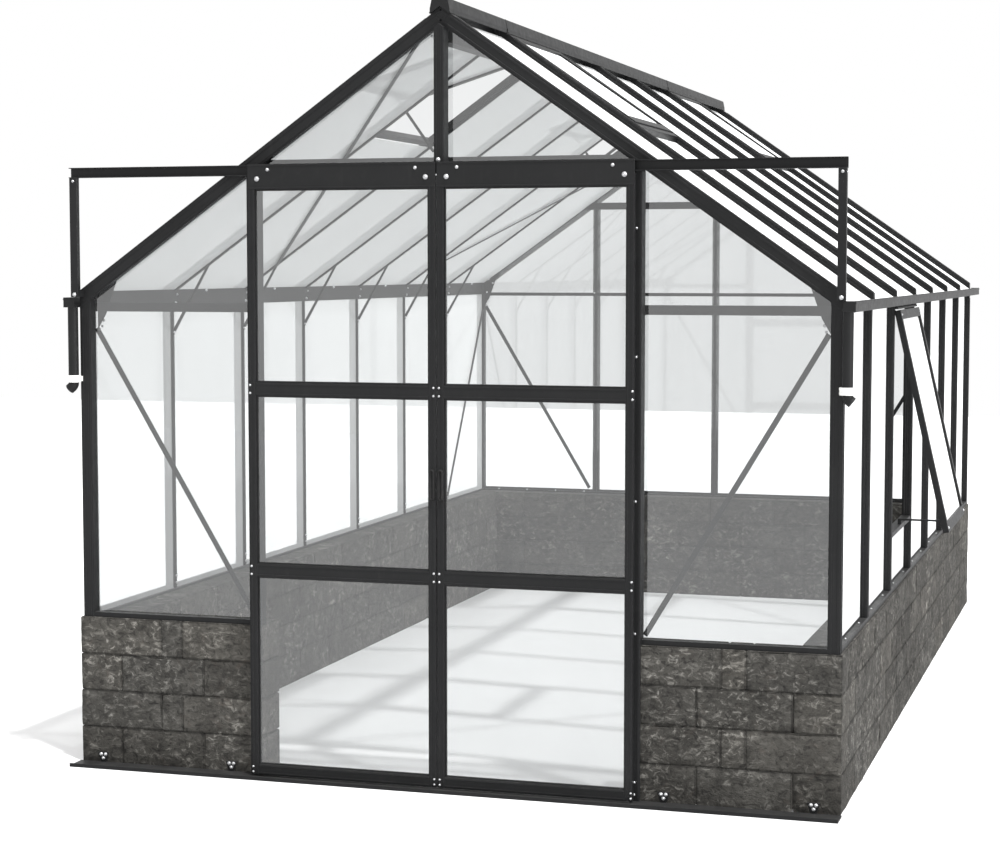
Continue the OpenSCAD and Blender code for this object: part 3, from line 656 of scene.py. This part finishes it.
# ---- bolts, nuts and screws ----------------------------------------------------------------
NUT_TURN = 0.3
BRACKET_X = (0.850, 1.395)
BRACKET_FRONT = -0.004
BRACKET_BOLTS = ((-0.009, 0.036), (0.009, 0.036), (0.0, 0.021))
SIDE_SCREWS_Y = [0.25 + 0.365 * k for k in range(14)]
GABLE_SCREWS_X = (0.80, 0.98, 1.16, 1.34)
STRUT_FOOT_Z = 1.668
STRUT_HEAD = (1.286, 1.846)
GUSSET_NUTS = ((1.405, 1.735), (1.412, 1.790), (1.375, 1.845), (1.400, 1.868), (1.412, 1.712))
TIE_END = (0.735, 1.7875)
BRACE_ENDS = ((0.769, 0.612), (1.414, 1.70))
JAMB_SCREWS_X = 0.744
JAMB_SCREWS_Z = (0.030, 0.075, 0.62, 1.10, 1.62, 2.08)
RIDGE_BOLT_X, RIDGE_BOLT_Z = 0.055, 2.790
WINDOW_TILT = math.radians(13)
WINDOW_BOLTS_Y = (1.515, 2.205)
WINDOW_BOLTS_UP = (-0.020, -0.925)
fixings = Builder()
for side in (1, -1):
    for x in BRACKET_X:
        for dx, z in BRACKET_BOLTS:
            bolt(fixings, (side * x + dx, BRACKET_FRONT, z), FRONT, 0.0058)
    # screws along the sills
    for y in SIDE_SCREWS_Y:
        bolt(fixings, (side * (FRAME_HW - BAR_H / 2), y, SILL_TOP), UP, 0.0032)
    for x in GABLE_SCREWS_X:
        for y in (FRAME_Y0 + BAR_H + 0.010, FRAME_Y1 - BAR_H - 0.010):
            bolt(fixings, (side * x, y, WALL_TOP + 0.008), UP, 0.0045)
    # side bars: nuts at the foot, the eave and the knee strut
    web = FRAME_HW - BAR_H - WEB_D
    inward = (-side, 0, 0)
    for i, y in enumerate(BAR_Y[1:-1]):
        foot = WALL_TOP + 0.030
        for dz in (0.0, 0.030):
            nut(fixings, (side * web, y, foot + dz), inward, 0.0050, NUT_TURN + i)
        nut(fixings, (side * (FRAME_HW - 0.050), y, SIDE_TOP + 0.014), inward, 0.0055, i)
        nut(fixings, (side * (FRAME_HW - 0.050), y + 0.016, SIDE_TOP + 0.050), inward, 0.0045, i)
        nut(fixings, (side * (web - 0.006), y - 0.003, STRUT_FOOT_Z), FRONT, 0.0048, i)
        nut(fixings, (side * STRUT_HEAD[0], y - 0.003, STRUT_HEAD[1]), FRONT, 0.0048, i)
    # gussets, gable ties and braces
    plate_y = FRAME_Y0 + BAR_H + 0.027
    for y, facing in ((plate_y, 1), (WALL_LEN - plate_y, -1)):
        for x, z in GUSSET_NUTS:
            nut(fixings, (side * x, y, z), (0, facing, 0), 0.0048, x * 90)
        nut(fixings, (side * TIE_END[0], y - facing * 0.003, TIE_END[1]), (0, facing, 0), 0.0045, 1.0)
    for x, z in BRACE_ENDS:
        nut(fixings, (side * x, FRAME_Y0 + BAR_H + 0.008, z), (0, 1, 0), 0.0048, 0.4)
    # foot of the track's end posts, and the track's own screws
    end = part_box("track_end_posts")
    bolt(fixings, (side * (FRAME_HW - 0.003), end[0].y, end[0].z + 0.010), FRONT, 0.0062)
    bolt(fixings, (side * (FRAME_HW - 0.003), end[0].y, end[1].z - 0.012), FRONT, 0.0045)
    bolt(fixings, (side * (FRAME_HW + 0.012), end[0].y + 0.010, end[1].z - 0.014), (side, 0, 0), 0.0045)
    # roof bars: nuts by the eave and by the ridge beam, seen from below
    for i, y in enumerate(BAR_Y[1:-1]):
        for x in (0.10, 1.20):
            nut(fixings, on_roof(x, y, 0.038, side), flip(-out, side), 0.0045, i + x)
    for z in JAMB_SCREWS_Z:
        bolt(fixings, (side * JAMB_SCREWS_X, jamb[0].y - RIB_H, z), FRONT, 0.0036)
# king post foot, over the track, and the two near the ridge
bolt(fixings, (-0.003, king[0].y, KING_FOOT + 0.003), FRONT, 0.0070)
for dx in (-RIDGE_BOLT_X, RIDGE_BOLT_X):
    bolt(fixings, (dx, FRAME_Y0 + 0.063, RIDGE_BOLT_Z), (0, 1, 0), 0.0050)
# corners of the open side window
win_out = Vector((math.cos(WINDOW_TILT), 0, math.sin(WINDOW_TILT)))
win_up = Vector((-math.sin(WINDOW_TILT), 0, math.cos(WINDOW_TILT)))
hinge = Vector((FRAME_HW, 0, SIDE_TOP - 0.018))
for y in WINDOW_BOLTS_Y:
    for z in WINDOW_BOLTS_UP:
        bolt(fixings, hinge + win_out * 0.025 + win_up * z + Vector((0, y, 0)), win_out, 0.0050)
fixings.piece("frame_bolts", "house", "rollers")

# ---- gutter trim, downpipe spouts and clips ------------------------------------------------
gutter = (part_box("gutters")[0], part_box("gutter_walls")[1])
gutter_len = gutter[1].y - gutter[0].y
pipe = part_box("downpipes")
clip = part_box("pipe_clips")
PIPE_X, PIPE_Y = 1.498, -0.008
PIPE_R, BORE_R = 0.020, 0.017
PIPE_SIDES = 32
BEND, BEND_STEPS, BEND_R = math.radians(52), 6, 0.026
MOUTH_LEN = 0.010
GUTTER_END_X, GUTTER_END_LEN = 1.481, 0.045
CLIP_BAND = [(0.0275, 0), (0.0292, 0.001), (0.0292, 0.005), (0.0275, 0.006)]
CLIP_LUG = [(-0.006, 0), (0.008, 0), (0.008, 0.0145), (-0.006, 0.0145)]
pipes, spouts, mouth_shades, tabs = Builder(), Builder(), Builder(), Builder()
for side in (1, -1):
    px, py = side * PIPE_X, PIPE_Y
    # the pipe runs down through its clip, then turns outwards to its mouth
    route = [(0.0, pipe[1].z, 0.0), (0.0, clip[0].z, 0.0)]
    for k in range(1, BEND_STEPS + 1):
        a = BEND * k / BEND_STEPS
        route.append((BEND_R * (1 - math.cos(a)), clip[0].z - BEND_R * math.sin(a), a))
    end = route[-1]
    route.append((end[0] + MOUTH_LEN * math.sin(BEND), end[1] - MOUTH_LEN * math.cos(BEND), BEND))
    rings = []
    for x, z, a, radius in ([(*spot, PIPE_R) for spot in route] +
                            [(*spot, BORE_R) for spot in reversed(route[1:])]):
        turns = [2 * math.pi * k / PIPE_SIDES for k in range(PIPE_SIDES)]
        rings.append([Vector((px + side * (x + radius * math.cos(t) * math.cos(a)),
                              py + radius * math.sin(t),
                              z + radius * math.cos(t) * math.sin(a))) for t in turns])
    verts = [v for ring in rings for v in ring]
    pipes.add(verts, tube_faces(len(rings), PIPE_SIDES), True)
    # painted shade: a near-black disk closes each spout's bore a little way in
    mouth_shades.add(rings[-3], [tuple(range(PIPE_SIDES))])
    # gutter: end beads and the rolled front lip
    for y in (gutter[0].y + 0.004, gutter[1].y - 0.004):
        prism(spouts, (side * GUTTER_END_X, y, gutter[1].z), (side, 0, 0), ALONG, UP, GUTTER_END_LEN,
              strip_profile(0.006, 0.003, 0.001))
    prism(spouts, (side * (gutter[1].x - 0.002), gutter[0].y, gutter[1].z), ALONG, ACROSS, UP,
          gutter_len, strip_profile(0.005, 0.0035, 0.0015))
    prism(spouts, (side * gutter[1].x, gutter[0].y, gutter[1].z - 0.004), ALONG, UP, (side, 0, 0),
          gutter_len, strip_profile(0.006, 0.002, 0.0008))
    # clip: two raised bands and a lug
    for z in (clip[0].z + 0.006, clip[1].z - 0.006):
        lathe(tabs, (px, py, z - 0.003), UP, CLIP_BAND, 40)
    prism(tabs, (px - side * 0.022, py + 0.008, clip[0].z + 0.004), UP, (side, 0, 0), ALONG,
          clip[1].z - clip[0].z - 0.008, CLIP_LUG)
pipes.piece("spouts", "house", "frame", replaces=["downpipes"])
spouts.piece("gutter_trim", "house", "frame")
mouth_shades.piece("spout_mouth_shade", "house", "hole", slot="frame")
tabs.piece("clip_bands", "house", "clip")

# ---- ridge: joints and beads of the cap ----------------------------------------------------
CAP_JOINTS_Y = (0.730, 3.650)
CAP_SIDE_X = 0.038
CAP_FLAT_X = 0.031
ridge, joints = Builder(), Builder()
for y in CAP_JOINTS_Y:
    for side in (1, -1):
        outward = (side, 0, 0)
        prism(joints, (side * CAP_SIDE_X, y, CAP[0].z + 0.0005), UP, ALONG, outward, 0.018,
              strip_profile(0.003, 0.0026, 0.0004))
        prism(joints, (side * (CAP_SIDE_X + 0.0005), y, CAP[0].z - 0.004), UP, ALONG, outward, 0.010,
              strip_profile(0.030, 0.0045, 0.0010))
        edge_from = Vector((side * CAP_SIDE_X, y, CAP[0].z + 0.018))
        rise = Vector((side * CAP_FLAT_X, y, CAP[1].z)) - edge_from
        square = Vector((0, side, 0)).cross(rise).normalized() * side
        prism(joints, edge_from, rise.normalized(), ALONG, square, rise.length,
              strip_profile(0.003, 0.0010, 0.0003))
    prism(joints, (-CAP_FLAT_X, y, CAP[1].z), ACROSS, ALONG, UP, 2 * CAP_FLAT_X,
          strip_profile(0.003, 0.0040, 0.0004))
joints.piece("ridge_joints", "house", "hole", slot="frame")
for side in (1, -1):
    prism(ridge, (side * 0.0275, 0.001, CAP[1].z), ALONG, ACROSS, UP, WALL_LEN - 0.002,
          strip_profile(0.006, 0.0035, 0.0012))
    prism(ridge, (side * CAP_SIDE_X, 0.001, CAP[0].z + 0.0035), ALONG, UP, (side, 0, 0),
          WALL_LEN - 0.002, strip_profile(0.006, 0.0022, 0.0008))
ridge.piece("ridge_trim", "house", "frame")

# ---- rubber gaskets along the panes --------------------------------------------------------
BEAD = [(-0.0030, 0), (0.0030, 0), (0.0018, 0.0026), (-0.0018, 0.0026)]
BEAD_Y = 0.0220
WEB_HALF = 0.007
ROOF_BEAD_X, ROOF_BEAD_DEPTH, ROOF_BEAD_LEN = 0.075, 0.026, 1.70
GABLE_INSET = 0.062
gaskets = Builder()
for side in (1, -1):
    x_out = FRAME_HW - BAR_H
    for y in BAR_Y[1:-1]:
        for dy in (-BEAD_Y, BEAD_Y):
            post_strip(gaskets, (side * x_out, y + dy, SILL_TOP), (side, 0, 0), SIDE_TOP - SILL_TOP,
                       BEAD)
            roof_strip(gaskets, on_roof(ROOF_BEAD_X, y + dy, ROOF_BEAD_DEPTH, side), side,
                       ROOF_BEAD_LEN, BEAD)
        prism(gaskets, (side * (x_out - 0.004), y - WEB_HALF - 0.003, WALL_TOP + 0.010), UP, ALONG,
              (-side, 0, 0), SIDE_TOP - WALL_TOP - 0.012, BEAD)
    prism(gaskets, (side * x_out, GABLE_INSET, WALL_TOP + 0.0222), ALONG, UP, (side, 0, 0),
          WALL_LEN - 2 * GABLE_INSET, BEAD)
gaskets.piece("gaskets", "house", "rubber", slot="frame")

# ---- sliding doors: hanger bolts, screws, handle, seals ------------------------------------
HANGER_BOLTS = ((0.080, 2.304, 0.0052), (0.663, 2.304, 0.0052),
                (0.040, 2.270, 0.0075), (0.706, 2.270, 0.0075))
STILE_SCREWS_Z = (0.022, 0.042, 0.782, 0.812, 1.469, 1.499)
STILE_W = 0.0275
STILE_BEADS = (0.0050, 0.0220)
STILE_FOOT, STILE_LEN = 0.013, 2.217
RAILS = ((0.012, 0.040), (0.772, 0.050), (1.459, 0.050))
PLATE_BEADS_Z = (2.236, 2.320)
PANES_Z = ((0.052, 0.772), (0.822, 1.459), (1.509, 2.231))
PULL_STEPS = ((0.0, 0.0), (0.0, 0.45), (0.0008, 0.72), (0.0028, 0.92), (0.0052, 1.0),
              (0.0072, 0.86), (0.0082, 0.60))
CORNER_STEPS = 8
for side, body in ((1, "door_right"), (-1, "door_left")):
    who = "right" if side > 0 else "left"
    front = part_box(f"{who}_door_rails")[0].y
    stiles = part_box(f"{who}_door_stiles")
    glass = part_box(f"{who}_door_glass")
    x_in = min(abs(stiles[0].x), abs(stiles[1].x))
    x_out = max(abs(stiles[0].x), abs(stiles[1].x))

    def left_end(inset):
        """Where a level strip starts, this far in from the leaf's sides."""
        return min(side * (x_in + inset), side * (x_out - inset))

    bits = Builder()
    for x, z, r in HANGER_BOLTS:
        bolt(bits, (side * x, front, z), FRONT, r)
    for x in (x_in + 0.0135 - 0.006, x_out - 0.0135 + 0.0095):
        for z in STILE_SCREWS_Z:
            bolt(bits, (side * x, front - 0.001, z), FRONT, 0.0036)
    bits.piece(f"{who}_door_bolts", body, "rollers")
    # raised beads of the extruded stiles, rails and hanger plate
    trim = Builder()
    near, far = STILE_BEADS
    for x in (x_in + near, x_in + far, x_out - far, x_out - near):
        post_strip(trim, (side * x, front, STILE_FOOT), FRONT, STILE_LEN, rib(0.0055))
    for z, h in RAILS:
        for dz in (0.006, h - 0.006):
            level_strip(trim, (left_end(STILE_W), front, z + dz), FRONT, x_out - x_in - 2 * STILE_W,
                        rib(0.0065))
    for z in PLATE_BEADS_Z:
        level_strip(trim, (left_end(0.001), front, z), FRONT, x_out - x_in - 0.002, rib(0.006))
    trim.piece(f"{who}_door_beads", body, "frame")
    # gasket round each pane, both faces
    seal = Builder()
    for z0, z1 in PANES_Z:
        for y, facing in ((glass[0].y, -1), (glass[1].y, 1)):
            for x in (x_in + 0.0300, x_out - 0.0300):
                post_strip(seal, (side * x, y, z0), (0, facing, 0), z1 - z0, BEAD)
            for z in (z0 + 0.003, z1 - 0.003):
                level_strip(seal, (left_end(0.033), y, z), (0, facing, 0), x_out - x_in - 0.066, BEAD)
    seal.piece(f"{who}_door_seals", body, "rubber", slot="frame")
    # a moulded pull handle with rounded ends, standing off the stile
    low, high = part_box(f"{who}_door_handle")
    pull = Builder()
    half_w, half_h = (high.x - low.x) / 2, (high.z - low.z) / 2
    mid = (low + high) / 2
    depth = high.y - low.y
    r = half_w * 0.96
    outline = []
    for cx, cz, a0 in ((1, 1, 0), (-1, 1, 90), (-1, -1, 180), (1, -1, 270)):
        for k in range(CORNER_STEPS + 1):
            a = math.radians(a0 + 90 * k / CORNER_STEPS)
            outline.append((cx * (half_w - r) + r * math.cos(a), cz * (half_h - r) + r * math.sin(a)))
    n = len(outline)
    verts = []
    for inset, back in PULL_STEPS:
        kx, kz = max(0.02, 1 - inset / half_w), max(0.02, 1 - inset / half_h)
        verts += [Vector((mid.x + x * kx, high.y - depth * back, mid.z + z * kz)) for x, z in outline]
    pull.add(verts, tube_faces(len(PULL_STEPS), n) + [tuple(range(len(verts) - n, len(verts)))], True)
    for z in (mid.z - half_h * 0.72, mid.z + half_h * 0.72):
        bolt(pull, (mid.x, high.y - depth * 0.60, z), FRONT, 0.0022)
    pull.piece(f"{who}_pull", body, "hole", slot="frame", replaces=[f"{who}_door_handle"])

# ---- camera, light and floor ---------------------------------------------------------------
scene = bpy.context.scene
# fitted to the corners of the frame
camera = bpy.data.objects.new("camera", bpy.data.cameras.new("camera"))
camera.location = (2.545, -7.587, 1.939)
camera.rotation_euler = (math.pi / 2 - 0.0741, 0, 0.2961)
camera.data.lens = 78.18
camera.data.sensor_width = 36
camera.data.clip_end = 200
scene.collection.objects.link(camera)
scene.camera = camera

world = bpy.data.worlds.new("studio")
world.use_nodes = True
sky = world.node_tree.nodes["Background"]
sky.inputs["Color"].default_value = (1, 1, 1, 1)
sky.inputs["Strength"].default_value = 1.0
scene.world = world
scene.view_settings.view_transform = "Standard"


def sun(name, energy, degrees, direction, shadow=True):
    lamp = bpy.data.objects.new(name, bpy.data.lights.new(name, "SUN"))
    lamp.data.energy = energy
    lamp.data.angle = math.radians(degrees)
    lamp.data.use_shadow = shadow
    lamp.rotation_euler = Vector(direction).to_track_quat("-Z", "Y").to_euler()
    scene.collection.objects.link(lamp)


sun("key", 3.3, 2.5, (-0.28, 0.20, -1.0))
sun("fill", 2.1, 40, (-0.9, 0.30, -0.30), shadow=False)

FLOOR_SIZE = 18.7
WALL_MIDDLE_Y = 2.5
FLOOR_Z = -0.0006
grid = bmesh.new()
bmesh.ops.create_grid(grid, x_segments=24, y_segments=24, size=FLOOR_SIZE)
floor_mesh = bpy.data.meshes.new("floor")
grid.to_mesh(floor_mesh)
grid.free()
floor = bpy.data.objects.new("floor", floor_mesh)
floor.location = (0, WALL_MIDDLE_Y, FLOOR_Z)
scene.collection.objects.link(floor)
m = Nodes("studio_floor")
tone = m.ramp(m.noise(0.8, 3, 0.5), [(0.3, (0.85, 0.85, 0.85)), (0.7, (0.88, 0.88, 0.88))])
# painted reflection: the floor turns mid grey only for glossy rays, so the panes reflect a darker floor
# than the camera sees directly
path = m.add("ShaderNodeLightPath")
tone = m.mix(path.outputs["Is Glossy Ray"], tone, (0.46, 0.46, 0.465))
rough = m.spread(m.noise(3, 3, 0.5), 0.3, 0.7, 0.85, 0.95)
m.surface(tone, rough, m.bump(m.noise(60, 3, 0.5), 0.0002, 0.2), 0.0, 0.1)
floor_mesh.materials.append(m.mat)
